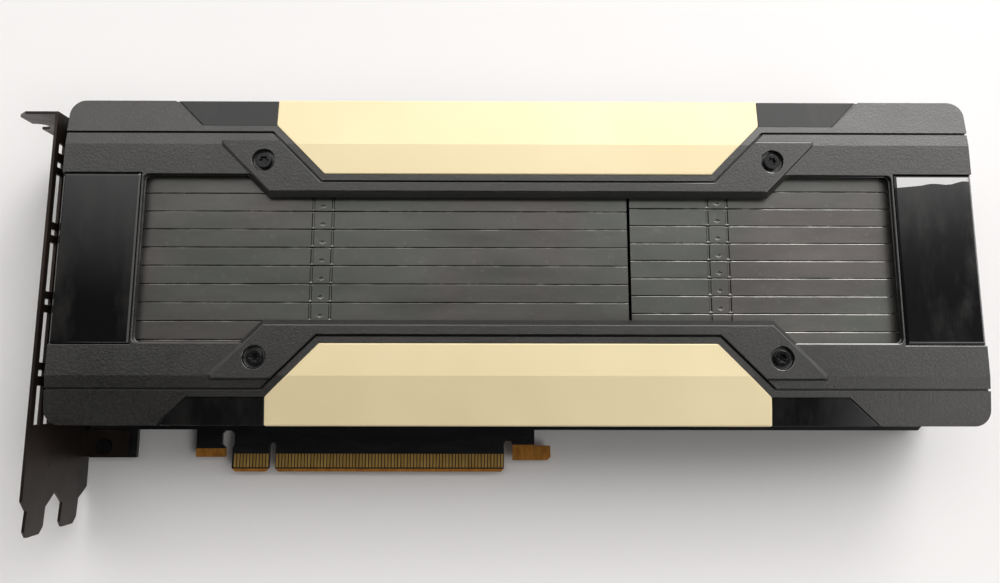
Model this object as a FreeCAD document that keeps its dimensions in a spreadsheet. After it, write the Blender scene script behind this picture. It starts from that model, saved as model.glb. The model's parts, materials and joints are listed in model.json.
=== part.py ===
"""Dual-slot passive accelerator card, one object for each physical piece.

Card coordinates: X runs away from the slot bracket (0 at the bracket's inner face), Y runs up
from the tips of the edge fingers, Z runs up from the outer face of the backplate.
Every piece is placed so that the origin ends up under the middle of the card's bounding box.
"""
import FreeCAD, Part
import math
import os
import Sketcher

SIZES = {
    # circuit board
    "board_left": 1.6,
    "board_right": 261.8,
    "board_foot": 12.7,
    "board_head": 111.15,
    "board_under": 2.4,
    "board_sheet": 1.57,
    "board_corner": 1.2,
    "lobe_right": 16.3,
    "lobe_foot": 4.2,
    "stub_left": 34.7,
    "stub_right": 43.8,
    "stub_foot": 4.4,
    "finger_edge_left": 46.0,
    "finger_edge_right": 130.6,
    "finger_edge_corner": 1.0,
    "slot_crown": 12.4,
    "slot_left": 42.6,
    "slot_right": 46.5,
    "slot_foot": 7.2,
    "key_middle": 58.5,
    "key_width": 1.9,
    "key_crown": 8.8,
    "hook_left": 133.2,
    "hook_neck": 140.1,
    "hook_right": 145.1,
    "hook_foot": 3.5,
    "hook_crown": 7.9,
    "hook_slot_crown": 9.3,
    # edge contacts
    "contact_width": 0.7,
    "contact_pitch": 1.0,
    "contact_foot": 1.3,
    "contact_length": 4.1,
    "contact_sheet": 0.05,
    "contact_from_key": 1.5,
    "contacts_left": 11,
    "contacts_right": 71,
    # slot bracket
    "bracket_sheet": 0.86,
    "bracket_low": 0.26,
    "bracket_high": 39.0,
    "bracket_crown": 105.07,
    "bracket_root": -6.0,
    "tongue_tip": -14.95,
    "tongue_shoulder": -4.8,
    "tongue_start": -7.8,
    "tongue_lean": 0.4,
    "tongue_width": 10.2,
    "tongue_low": 5.3,
    "slot_pitch": 20.32,
    "tongue_corner": 1.8,
    "valley_crown": -4.0,
    "flange_reach": 12.6,
    "notch_radius": 2.85,
    "notch_end": 8.8,
    "notch_middle": 5.7,
    "notch_sides": 16,
    "flange_cut": 3.0,
    "vent_row_low": 8.0,
    "vent_row_pitch": 5.4,
    "vent_rows": 6,
    "vent_height": 3.4,
    "vent_length": 14.1,
    "vent_middle": 39.6,
    "vent_pitch": 20.05,
    "vent_columns": 3,
    "vent_short_length": 10.7,
    "vent_short_middle": 20.75,
    "vent_hole_length": 1.7,
    "vent_hole_middle": 29.6,
    "vent_hole_columns": 4,
    "vent_end_length": 2.9,
    "vent_end_middle": 94.65,
    "tab_low_foot": 4.6,
    "tab_low_head": 12.5,
    "tab_low_reach": 14.0,
    "tab_high_foot": 93.0,
    "tab_high_head": 103.0,
    "tab_high_reach": 10.0,
    # bracket screws
    "tab_screw_x": 6.6,
    "tab_screw_low": 7.6,
    "tab_screw_high": 98.0,
    # screws
    "thread_radius": 1.25,
    "thread_play": 0.1,
    "head_radius": 2.4,
    "head_height": 1.4,
    "head_play": 0.3,
    "head_sides": 12,
    "shank_sides": 6,
    # backplate
    "plate_left": 2.6,
    "plate_right": 260.6,
    "plate_foot": 13.9,
    "plate_head": 110.0,
    "plate_sheet": 1.2,
    "plate_corner": 3.0,
    "plate_boss": 3.2,
    "plate_sink": 0.9,
    "plate_screw_x": 24.0,
    "plate_screw_pitch": 70.7,
    "plate_screw_columns": 4,
    "plate_screw_y": 41.8,
    "plate_window_x": 45.0,
    "plate_window_y": 37.6,
    # spring bracket behind the processor
    "chip_x": 95.0,
    "middle_y": 62.3,
    "spring_screw_x": 37.0,
    "spring_screw_y": 31.0,
    "spring_low": 0.9,
    "spring_sheet": 0.8,
    "spring_arm": 4.5,
    "spring_hub": 9.0,
    "spring_screw_radius": 1.5,
    # base frame
    "frame_left": 6.0,
    "frame_right": 262.0,
    "frame_side": 44.8,
    "frame_low": 10.0,
    "frame_deck": 2.0,
    "frame_corner": 4.0,
    "frame_post": 2.7,
    "frame_roof": 0.5,
    "frame_window_x": 33.0,
    "frame_window_y": 31.0,
    "frame_stud_gap": 4.2,
    "frame_notch_left": 246.5,
    "frame_notch_foot": 84.0,
    "lug_low": 5.0,
    "lug_width": 8.0,
    "lug_depth": 5.0,
    "side_screw_pitch": 90.0,
    "side_screw_columns": 3,
    "side_screw_z": 8.5,
    "side_screw_length": 5.5,
    "side_screw_sink": 0.9,
    # vapour chamber
    "chamber_left": 23.5,
    "chamber_right": 166.3,
    "chamber_side": 43.8,
    "chamber_sheet": 3.0,
    "chamber_corner": 5.0,
    "pedestal_x": 29.0,
    "pedestal_y": 27.0,
    "stud_radius": 3.0,
    "stud_hole": 6.5,
    # folded fins
    "fin_sheet": 0.4,
    "fin_gap": 0.25,
    "fin_top": 34.9,
    "fin_count": 16,
    "main_left": 24.0,
    "main_right": 166.1,
    "main_first": 17.96,
    "main_pitch": 5.31,
    "main_lock": 77.65,
    "rear_left": 166.75,
    "rear_right": 244.0,
    "rear_first": 21.3,
    "rear_pitch": 5.1,
    "rear_lock": 192.4,
    "lock_half": 2.85,
    "relief_width": 0.6,
    "relief_mouth": 0.35,
    "relief_deep": 0.25,
    "lock_mark_length": 1.6,
    "lock_mark_width": 1.0,
    # processor package
    "package_side": 55.0,
    "package_height": 2.3,
    "stiffener_band": 4.0,
    "stiffener_height": 0.6,
    "die_x": 26.0,
    "die_y": 32.0,
    "die_height": 0.78,
    "stack_x": 8.0,
    "stack_y": 10.2,
    "stack_off": 17.6,
    "stack_pitch": 10.9,
    "stack_rows": 3,
    # power parts
    "coil_x": 46.0,
    "coil_length": 10.0,
    "coil_width": 9.6,
    "coil_height": 5.0,
    "coil_pitch": 12.0,
    "coil_rows": 6,
    "coil_bank_step": 108.0,
    "stage_x": 36.0,
    "stage_length": 6.0,
    "stage_width": 5.0,
    "stage_height": 1.0,
    "stage_bank_step": 128.0,
    "can_x": 178.0,
    "can_length": 7.3,
    "can_width": 4.3,
    "can_height": 2.8,
    "can_pitch": 12.0,
    "can_columns": 5,
    "can_row_step": 60.0,
    # power inlet
    "inlet_left": 248.6,
    "inlet_right": 262.4,
    "inlet_foot": 86.2,
    "inlet_head": 105.0,
    "inlet_height": 10.2,
    "inlet_cell": 3.5,
    "inlet_pitch": 4.2,
    "inlet_depth": 11.0,
    "inlet_columns": 4,
    "inlet_rows": 2,
    "inlet_latch": 1.6,
    "inlet_latch_width": 6.0,
    "pin_side": 1.1,
    "pin_length": 7.0,
    # shroud, measured from the middle of its cover
    "cover_x": 134.3,
    "cover_half": 132.0,
    "cover_side": 47.0,
    "cover_corner": 4.5,
    "cover_top": 38.2,
    "cover_bend": 33.3,
    "cover_drop": 2.0,
    "cover_under": 36.4,
    "side_under": 35.1,
    "wall_sheet": 1.8,
    "wrap_foot": 41.5,
    "wrap_corner": 2.7,
    "seam_end_y": 37.0,
    "seam_end_x": 71.7,
    "seam_mid_y": 22.2,
    "seam_mid_x": 56.9,
    "seam_half": 0.3,
    "seam_ledge": 2.0,
    "ear_left": 69.5,
    "ear_right": 78.5,
    "ear_foot": 24.7,
    "island_top": 38.8,
    "island_crown": 34.1,
    "island_tip": 85.85,
    "island_flat": 19.2,
    "island_shift": 52.6,
    "island_bevel": 1.6,
    "island_lip": 0.6,
    "window_half": 108.4,
    "window_side": 24.3,
    "window_corner": 1.5,
    "window_step": 0.3,
    "window_shelf": 0.5,
    "cover_screw_x": 73.85,
    "cover_screw_y": 28.3,
    "cover_screw_sink": 3.3,
    "cover_screw_seat": 37.1,
    "cover_screw_head": 2.25,
    "cover_screw_high": 1.5,
    "cover_screw_sides": 20,
    "recess_tip": 1.3,
    "recess_root": 0.85,
    "recess_deep": 0.9,
    "panel_inner": 109.0,
    "panel_side": 24.7,
    "panel_seat": 37.2,
    "panel_sheet": 1.3,
    "panel_bevel": 0.6,
    "panel_play": 0.15,
    "panel_back": 0.5,
    "gold_flat_x": 56.0,
    "gold_flat_y": 24.3,
    "gold_end_x": 70.65,
    "gold_end_y": 39.2,
    "gold_outer": 47.15,
    "gold_proud": 0.2,
    "inlay_near": 70.85,
    "inlay_far": 92.5,
    "inlay_far_outer": 100.3,
    "inlay_sink": 0.3,
    "seat_depth": 0.8,
    "seat_play": 0.1,
}

CLEAR = 1
ROOT_2 = 1.4142
HALF_ROOT_3 = 0.866
CORNER_SLIP = 0.4142


class Dim:
    """A size from the sheet, kept both as an expression and as its present value."""

    def __init__(self, text, value):
        self.text = text
        self.value = value

    def __add__(self, other):
        other = dim(other)
        return Dim("(%s + %s)" % (self.text, other.text), self.value + other.value)

    def __sub__(self, other):
        other = dim(other)
        return Dim("(%s - %s)" % (self.text, other.text), self.value - other.value)

    def __mul__(self, other):
        other = dim(other)
        return Dim("(%s * %s)" % (self.text, other.text), self.value * other.value)

    def __truediv__(self, other):
        other = dim(other)
        return Dim("(%s / %s)" % (self.text, other.text), self.value / other.value)

    def __neg__(self):
        return dim(0) - self

    def __radd__(self, other):
        return dim(other) + self

    def __rsub__(self, other):
        return dim(other) - self

    def __rmul__(self, other):
        return dim(other) * self


def dim(size):
    """A plain number as a Dim; a Dim as it is."""
    if isinstance(size, Dim):
        return size
    return Dim("(%s)" % size, float(size))


class Sheet:
    """Every size by its word."""


doc = FreeCAD.newDocument("accelerator_card")
cells = doc.addObject("Spreadsheet::Sheet", "Dimensions")
d = Sheet()
for row, (word, number) in enumerate(SIZES.items(), 1):
    cells.set("A%d" % row, word)
    cells.set("B%d" % row, str(number))
    cells.setAlias("B%d" % row, word)
    setattr(d, word, Dim("Dimensions." + word, float(number)))
doc.recompute()

PARTS = []


# ---------------------------------------------------------------- construction helpers

def new_body(name):
    """An empty body labelled as the piece."""
    body = doc.addObject("PartDesign::Body", name)
    body.Label = name
    return body


def origin_item(body, role):
    """One of the body's own planes or axes."""
    for item in body.Origin.OriginFeatures:
        if item.Role == role:
            return item
    raise ValueError(role)


def hold(art, kind, item, point, size):
    """Hold one coordinate of a sketch point to a size of the sheet."""
    number = art.addConstraint(Sketcher.Constraint(kind, -1, 1, item, point, size.value))
    art.setExpression("Constraints[%d]" % number, size.text)


def draw_loop(art, points):
    """A closed outline of straight lines with every corner held."""
    corners = [(dim(x), dim(y)) for x, y in points]
    first = art.GeometryCount
    count = len(corners)
    for index in range(count):
        start = FreeCAD.Vector(corners[index][0].value, corners[index][1].value, 0)
        ahead = corners[(index + 1) % count]
        art.addGeometry(Part.LineSegment(start, FreeCAD.Vector(ahead[0].value, ahead[1].value, 0)), False)
    for index in range(count):
        following = first + (index + 1) % count
        art.addConstraint(Sketcher.Constraint("Coincident", first + index, 2, following, 1))
    for index, (x, y) in enumerate(corners):
        hold(art, "DistanceX", first + index, 1, x)
        hold(art, "DistanceY", first + index, 1, y)


def sketch(body, role, level, loops):
    """A sketch parallel to one of the body's planes, moved along its normal to a level."""
    art = body.newObject("Sketcher::SketchObject", body.Name + "_outline")
    art.AttachmentSupport = [(origin_item(body, role), "")]
    art.MapMode = "FlatFace"
    art.setExpression("AttachmentOffset.Base.z", dim(level).text)
    for loop in loops:
        draw_loop(art, loop)
    return art


def pad(body, role, level, length, loops):
    """Material added from a level along the plane's normal."""
    feature = body.newObject("PartDesign::Pad", body.Name + "_pad")
    feature.Profile = sketch(body, role, level, loops)
    feature.setExpression("Length", dim(length).text)
    body.Tip = feature
    return feature


def pocket(body, role, level, length, loops):
    """Material removed from a level along the plane's normal."""
    feature = body.newObject("PartDesign::Pocket", body.Name + "_pocket")
    feature.Profile = sketch(body, role, level, loops)
    feature.Reversed = True
    feature.setExpression("Length", dim(length).text)
    body.Tip = feature
    return feature


def repeat(body, originals, role, pitch, count, second=None):
    """The same features again at a pitch along one axis, or along two."""
    feature = body.newObject("PartDesign::LinearPattern", body.Name + "_row")
    feature.Originals = originals
    feature.Direction = (origin_item(body, role), [""])
    feature.Mode = "Spacing"
    feature.setExpression("Offset", dim(pitch).text)
    feature.setExpression("Occurrences", dim(count).text)
    if second:
        role, pitch, count = second
        feature.Direction2 = (origin_item(body, role), [""])
        feature.Mode2 = "Spacing"
        feature.Spacings2 = [-1.0]
        feature.setExpression("Offset2", dim(pitch).text)
        feature.setExpression("Occurrences2", dim(count).text)
    body.Tip = feature
    return feature


def dress(body, kind, field, size, chosen):
    """A fillet or chamfer on the edges of the body that the test picks."""
    doc.recompute()
    base = body.Tip
    names = []
    for index, edge in enumerate(base.Shape.Edges, 1):
        if chosen(edge):
            names.append("Edge%d" % index)
    feature = body.newObject("PartDesign::" + kind, body.Name + "_" + kind.lower())
    feature.Base = (base, names)
    feature.setExpression(field, dim(size).text)
    body.Tip = feature
    return feature


def box(x_low, x_high, y_low, y_high):
    """The four corners of a rectangle."""
    return [(x_low, y_low), (x_high, y_low), (x_high, y_high), (x_low, y_high)]


def around(x, y, half_x, half_y):
    """The four corners of a rectangle about its middle."""
    return box(x - half_x, x + half_x, y - half_y, y + half_y)


def ring(x, y, radius, sides):
    """A regular outline about a point, with a flat towards each axis."""
    count = int(dim(sides).value)
    corners = []
    for index in range(count):
        angle = 2 * math.pi * (index + 0.5) / count
        corners.append((x + radius * round(math.cos(angle), 5), y + radius * round(math.sin(angle), 5)))
    return corners


class Grid:
    """Places of equal screws: the first place, and one or two rows as (axis, pitch, count)."""

    def __init__(self, x, y, along, across=None):
        self.x, self.y = x, y
        self.along = along
        self.across = across

    def studs(self, body, features):
        """Features at the first place, then at every place; each is (make, level, length, radius, sides)."""
        made = []
        for make, level, length, radius, sides in features:
            made.append(make(body, "XY_Plane", level, length, [ring(self.x, self.y, radius, sides)]))
        repeat(body, made, *self.along, self.across)


def mirrored(points):
    """An outline that is drawn for +X and closed by its own mirror image in -X."""
    return list(points) + [(-dim(x), y) for x, y in reversed(list(points))]


def place(thing, x=0, y=0, turn=0):
    """Stand a piece in the card, with the origin under the middle of the card."""
    turned = FreeCAD.Rotation(FreeCAD.Vector(0, 0, 1), turn)
    thing.Placement = FreeCAD.Placement(FreeCAD.Vector(0, 0, 0), turned)
    thing.setExpression("Placement.Base.x", (dim(x) - card_middle_x).text)
    thing.setExpression("Placement.Base.y", (dim(y) - card_middle_y).text)
    PARTS.append(thing)
    return thing


def on_cover(thing, turn=0):
    """Stand a piece of the shroud in the card; its own middle is the middle of the cover."""
    return place(thing, d.cover_x, d.middle_y, turn)


# ---------------------------------------------------------------- sizes that follow from others

card_middle_x = (d.cover_x + d.cover_half - d.flange_reach) / 2
card_middle_y = (d.board_head + d.tongue_tip) / 2
board_top = d.board_under + d.board_sheet
deck_top = d.frame_low + d.frame_deck
chamber_top = deck_top + d.chamber_sheet
package_top = board_top + d.package_height
die_top = package_top + d.die_height
tab_top = board_top + d.bracket_sheet
cover_thick = d.cover_top - d.cover_under
hole_radius = d.thread_radius + d.thread_play
spring_hole = d.spring_screw_radius + d.thread_play


PLATE_GRID = Grid(d.plate_screw_x, d.middle_y - d.plate_screw_y,
                  ("X_Axis", d.plate_screw_pitch, d.plate_screw_columns), ("Y_Axis", 2 * d.plate_screw_y, 2))
SPRING_GRID = Grid(d.chip_x - d.spring_screw_x, d.middle_y - d.spring_screw_y,
                   ("X_Axis", 2 * d.spring_screw_x, 2), ("Y_Axis", 2 * d.spring_screw_y, 2))
TAB_GRID = Grid(d.tab_screw_x, d.tab_screw_low, ("Y_Axis", d.tab_screw_high - d.tab_screw_low, 2))


# ---------------------------------------------------------------- board and what is printed on it

def build_board():
    """The board with its key notch, its slots and the retention hook."""
    body = new_body("circuit_board")
    corner = d.finger_edge_corner
    key_half = d.key_width / 2
    key = d.key_middle
    outline = [
        (d.board_left, d.lobe_foot),
        (d.lobe_right, d.lobe_foot),
        (d.lobe_right, d.board_foot),
        (d.stub_left, d.board_foot),
        (d.stub_left, d.stub_foot),
        (d.stub_right, d.stub_foot),
        (d.stub_right, d.slot_foot),
        (d.slot_left, d.slot_foot + corner),
        (d.slot_left, d.slot_crown - corner),
        (d.slot_left + corner, d.slot_crown),
        (d.slot_right - corner, d.slot_crown),
        (d.slot_right, d.slot_crown - corner),
        (d.slot_right, d.slot_foot + corner),
        (d.finger_edge_left, d.slot_foot),
        (d.finger_edge_left, corner),
        (d.finger_edge_left + corner, 0),
        (key - key_half - corner, 0),
        (key - key_half, corner),
        (key - key_half, d.key_crown - key_half),
        (key - key_half / 2, d.key_crown),
        (key + key_half / 2, d.key_crown),
        (key + key_half, d.key_crown - key_half),
        (key + key_half, corner),
        (key + key_half + corner, 0),
        (d.finger_edge_right - corner, 0),
        (d.finger_edge_right, corner),
        (d.finger_edge_right, d.hook_slot_crown - key_half),
        (d.finger_edge_right + key_half / 2, d.hook_slot_crown),
        (d.hook_left - key_half / 2, d.hook_slot_crown),
        (d.hook_left, d.hook_slot_crown - key_half),
        (d.hook_left, d.hook_foot),
        (d.hook_right - corner, d.hook_foot),
        (d.hook_right, d.hook_foot + corner),
        (d.hook_right, d.hook_crown),
        (d.hook_neck, d.hook_crown),
        (d.hook_neck, d.board_foot),
        (d.board_right - d.board_corner, d.board_foot),
        (d.board_right, d.board_foot + d.board_corner),
        (d.board_right, d.board_head - d.board_corner),
        (d.board_right - d.board_corner, d.board_head),
        (d.board_left + d.board_corner, d.board_head),
        (d.board_left, d.board_head - d.board_corner),
    ]
    pad(body, "XY_Plane", d.board_under, d.board_sheet, [outline])
    for grid, radius in ((TAB_GRID, hole_radius), (PLATE_GRID, hole_radius), (SPRING_GRID, spring_hole)):
        grid.studs(body, [(pocket, d.board_under, d.board_sheet, radius, d.shank_sides)])
    place(body)


def build_contacts():
    """Gold fingers in two groups beside the key notch, on both faces of the board."""
    body = new_body("edge_contacts")
    half = d.contact_width / 2
    left = d.key_middle - d.contact_from_key - (d.contacts_left - 1) * d.contact_pitch
    right = d.key_middle + d.contact_from_key
    head = d.contact_foot + d.contact_length
    for first, count in ((left, d.contacts_left), (right, d.contacts_right)):
        for level in (board_top, d.board_under - d.contact_sheet):
            strip = box(first - half, first + half, d.contact_foot, head)
            finger = pad(body, "XY_Plane", level, d.contact_sheet, [strip])
            repeat(body, [finger], "X_Axis", d.contact_pitch, count)
    place(body)


# ---------------------------------------------------------------- slot bracket

def build_bracket():
    """Folded steel: vented plate, flange with screw notches, two tongues, two tabs for the board."""
    body = new_body("io_bracket")
    sheet = d.bracket_sheet
    low, high = d.bracket_low, d.bracket_high
    root, tip = d.bracket_root, d.tongue_tip
    pad(body, "YZ_Plane", -sheet, sheet, [box(root, d.bracket_crown, low, high)])
    lean = d.tongue_lean
    pad(body, "XY_Plane", low, high - low, [[(0, root), (-sheet, root), (-sheet - lean, tip), (-lean, tip)]])
    pad(body, "XZ_Plane", -d.bracket_crown, sheet, [[
        (0, low),
        (0, high),
        (d.flange_cut - d.flange_reach, high),
        (-d.flange_reach, high - d.flange_cut),
        (-d.flange_reach, low),
    ]])
    pad(body, "XY_Plane", board_top, sheet, [
        box(-sheet, d.tab_low_reach, d.tab_low_foot, d.tab_low_head),
        box(-sheet, d.tab_high_reach, d.tab_high_foot, d.tab_high_head),
    ])
    beyond = tip - CLEAR
    near_foot = d.tongue_low + d.slot_pitch
    near_head = near_foot + d.tongue_width
    far_head = d.tongue_low + d.tongue_width
    pocket(body, "YZ_Plane", -d.flange_reach, 2 * d.flange_reach, [
        [(d.tongue_shoulder, high), (d.tongue_start, near_head), (beyond, near_head), (beyond, high + CLEAR),
         (d.tongue_shoulder, high + CLEAR)],
        [(d.valley_crown, (near_foot + far_head) / 2), (d.tongue_start, near_foot), (beyond, near_foot),
         (beyond, far_head), (d.tongue_start, far_head)],
        [(d.tongue_shoulder, low), (d.tongue_start, d.tongue_low), (beyond, d.tongue_low),
         (beyond, low - CLEAR), (d.tongue_shoulder, low - CLEAR)],
    ])
    notch_x = d.notch_radius + d.notch_end
    for side in (0, 1):
        middle = d.notch_middle + side * d.slot_pitch
        mouth = box(-d.flange_reach - CLEAR, -notch_x, middle - d.notch_radius, middle + d.notch_radius)
        pocket(body, "XZ_Plane", -d.bracket_crown, sheet, [mouth])
        end = ring(-notch_x, middle, d.notch_radius, d.notch_sides)
        pocket(body, "XZ_Plane", -d.bracket_crown, sheet, [end])
    add_vents(body)
    TAB_GRID.studs(body, [(pocket, board_top, sheet, hole_radius, d.shank_sides)])
    tip_y = d.tongue_tip.value
    dress(body, "Chamfer", "Size", d.tongue_corner, lambda edge: is_tongue_corner(edge, tip_y))
    return place(body)


def is_tongue_corner(edge, tip_y):
    """The short edges through the sheet at the end of a tongue."""
    ends = [vertex.Point for vertex in edge.Vertexes]
    at_tip = all(abs(point.y - tip_y) < 0.01 for point in ends)
    return at_tip and len(ends) == 2 and abs(ends[0].z - ends[1].z) < 0.01


def add_vents(body):
    """Rows of air slots: long ones with small holes between them."""
    low = d.vent_row_low
    half_height = d.vent_height / 2
    depth = 3 * d.bracket_sheet
    level = -2 * d.bracket_sheet
    rows = ("Z_Axis", d.vent_row_pitch, d.vent_rows)
    long_slot = around(d.vent_middle, low, d.vent_length / 2, half_height)
    first = pocket(body, "YZ_Plane", level, depth, [long_slot])
    repeat(body, [first], "Y_Axis", d.vent_pitch, d.vent_columns, rows)
    hole = around(d.vent_hole_middle, low, d.vent_hole_length / 2, half_height)
    second = pocket(body, "YZ_Plane", level, depth, [hole])
    repeat(body, [second], "Y_Axis", d.vent_pitch, d.vent_hole_columns, rows)
    ends = [
        around(d.vent_short_middle, low, d.vent_short_length / 2, half_height),
        around(d.vent_end_middle, low, d.vent_end_length / 2, half_height),
    ]
    third = pocket(body, "YZ_Plane", level, depth, ends)
    repeat(body, [third], "Z_Axis", d.vent_row_pitch, d.vent_rows)


def build_bracket_screws():
    """Two screws through the tabs of the bracket into the board."""
    body = new_body("bracket_screws")
    TAB_GRID.studs(body, [
        (pad, tab_top, d.head_height, d.head_radius, d.head_sides),
        (pad, d.board_under, tab_top - d.board_under, d.thread_radius, d.shank_sides),
    ])
    place(body)


# ---------------------------------------------------------------- back of the card

def build_backplate():
    """Pressed plate with a stand-off boss at each screw and a window behind the processor."""
    body = new_body("backplate")
    corner = d.plate_corner
    outline = [
        (d.plate_left, d.plate_foot + corner),
        (d.plate_left + corner, d.plate_foot),
        (d.plate_right - corner, d.plate_foot),
        (d.plate_right, d.plate_foot + corner),
        (d.plate_right, d.plate_head - corner),
        (d.plate_right - corner, d.plate_head),
        (d.plate_left + corner, d.plate_head),
        (d.plate_left, d.plate_head - corner),
    ]
    window = around(d.chip_x, d.middle_y, d.plate_window_x, d.plate_window_y)
    pad(body, "XY_Plane", 0, d.plate_sheet, [outline, window])
    PLATE_GRID.studs(body, [
        (pad, d.plate_sheet, d.board_under - d.plate_sheet, d.plate_boss, d.head_sides),
        (pocket, 0, d.board_under, hole_radius, d.shank_sides),
        (pocket, 0, d.plate_sink, d.head_radius + d.head_play, d.head_sides),
    ])
    place(body)


def build_backplate_screws():
    """Flat screws from the back into the posts of the base frame."""
    body = new_body("backplate_screws")
    gap = d.thread_play
    PLATE_GRID.studs(body, [
        (pad, gap, d.plate_sink - gap, d.head_radius, d.head_sides),
        (pad, d.plate_sink, d.frame_low - CLEAR - d.plate_sink, d.thread_radius, d.shank_sides),
    ])
    place(body)


def build_spring():
    """Crossed spring arms that pull the vapour chamber down onto the processor."""
    body = new_body("spring_bracket")
    arm = d.spring_arm
    far_x, far_y = d.spring_screw_x, d.spring_screw_y
    end = [(far_x + arm, far_y - arm), (far_x + arm, far_y + arm), (far_x - arm, far_y + arm)]
    waist = [(0, d.spring_hub)]
    upper = [(arm + d.spring_hub, 0)] + end + waist + [(-x, y) for x, y in reversed(end)]
    outline = [(d.chip_x + side * x, d.middle_y + side * y) for side in (1, -1) for x, y in upper]
    pad(body, "XY_Plane", d.spring_low, d.spring_sheet, [outline])
    top = d.spring_low + d.spring_sheet
    rise = d.board_under - top
    pad(body, "XY_Plane", top, rise, [ring(d.chip_x, d.middle_y, d.spring_hub, d.head_sides)])
    SPRING_GRID.studs(body, [
        (pad, top, rise, d.spring_arm, d.head_sides),
        (pocket, d.spring_low, d.board_under - d.spring_low, spring_hole, d.shank_sides),
    ])
    place(body)


def build_spring_screws():
    """Four screws from the spring bracket up into the studs of the vapour chamber."""
    body = new_body("spring_screws")
    gap = d.thread_play
    reach = board_top + d.stud_hole - CLEAR - d.spring_low
    SPRING_GRID.studs(body, [
        (pad, gap, d.spring_low - gap, d.head_radius, d.head_sides),
        (pad, d.spring_low, reach, d.spring_screw_radius, d.shank_sides),
    ])
    place(body)


# ---------------------------------------------------------------- heat sink

def build_frame():
    """Cast deck on posts, with a window for the pedestal and lugs for the side screws."""
    body = new_body("base_frame")
    corner = d.frame_corner
    left, right = d.frame_left, d.frame_right
    foot, head = d.middle_y - d.frame_side, d.middle_y + d.frame_side
    outline = [
        (left, foot + corner),
        (left + corner, foot),
        (right - corner, foot),
        (right, foot + corner),
        (right, d.frame_notch_foot),
        (d.frame_notch_left, d.frame_notch_foot),
        (d.frame_notch_left, head),
        (left + corner, head),
        (left, head - corner),
    ]
    window = around(d.chip_x, d.middle_y, d.frame_window_x, d.frame_window_y - d.frame_stud_gap - CLEAR)
    pad(body, "XY_Plane", d.frame_low, d.frame_deck, [outline, window])
    SPRING_GRID.studs(body, [(pocket, d.frame_low, d.frame_deck, d.frame_stud_gap, d.head_sides)])
    PLATE_GRID.studs(body, [
        (pad, board_top, d.frame_low - board_top, d.frame_post, d.head_sides),
        (pocket, board_top, d.frame_low - d.frame_roof - board_top, hole_radius, d.shank_sides),
    ])
    wall = d.cover_side - d.wall_sheet
    lugs = []
    lug = d.lug_width / 2
    for x in side_screw_places():
        lugs.append(box(x - lug, x + lug, d.middle_y - wall, d.middle_y - wall + d.lug_depth))
        lugs.append(box(x - lug, x + lug, d.middle_y + wall - d.lug_depth, d.middle_y + wall))
    pad(body, "XY_Plane", d.lug_low, deck_top - d.lug_low, lugs)
    for level in (-d.middle_y - wall, -d.middle_y + wall - d.lug_depth):
        bore = pocket(body, "XZ_Plane", level, d.lug_depth, [side_ring(hole_radius, d.shank_sides)])
        repeat(body, [bore], "X_Axis", d.side_screw_pitch, d.side_screw_columns)
    place(body)


def side_screw_places():
    """Where the side screws stand along the card."""
    return [d.cover_x + step * d.side_screw_pitch for step in (-1, 0, 1)]


def side_ring(radius, sides):
    """The outline of the first side screw or its bore, seen along the screw."""
    return ring(d.cover_x - d.side_screw_pitch, d.side_screw_z, radius, sides)


def build_side_screws():
    """Screws through the shroud's walls into the lugs of the base frame."""
    body = new_body("side_screws")
    outer = d.cover_side - d.thread_play
    inner = d.cover_side - d.side_screw_sink
    length = d.side_screw_length
    head = side_ring(d.head_radius, d.head_sides)
    shank = side_ring(d.thread_radius, d.shank_sides)
    made = [
        pad(body, "XZ_Plane", -d.middle_y - outer, outer - inner, [head]),
        pad(body, "XZ_Plane", -d.middle_y - inner, length, [shank]),
        pad(body, "XZ_Plane", -d.middle_y + inner, outer - inner, [head]),
        pad(body, "XZ_Plane", -d.middle_y + inner - length, length, [shank]),
    ]
    repeat(body, made, "X_Axis", d.side_screw_pitch, d.side_screw_columns)
    place(body)


def build_chamber():
    """Flat vapour chamber with a pedestal on the chips and four threaded studs."""
    body = new_body("vapor_chamber")
    corner = d.chamber_corner
    left, right = d.chamber_left, d.chamber_right
    foot, head = d.middle_y - d.chamber_side, d.middle_y + d.chamber_side
    outline = [
        (left, foot + corner),
        (left + corner, foot),
        (right - corner, foot),
        (right, foot + corner),
        (right, head - corner),
        (right - corner, head),
        (left + corner, head),
        (left, head - corner),
    ]
    pad(body, "XY_Plane", deck_top, d.chamber_sheet, [outline])
    pedestal = around(d.chip_x, d.middle_y, d.pedestal_x, d.pedestal_y - d.frame_stud_gap)
    pad(body, "XY_Plane", die_top, deck_top - die_top, [pedestal])
    SPRING_GRID.studs(body, [
        (pad, board_top, deck_top - board_top, d.stud_radius, d.head_sides),
        (pocket, board_top, d.stud_hole, spring_hole, d.shank_sides),
    ])
    place(body)


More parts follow.
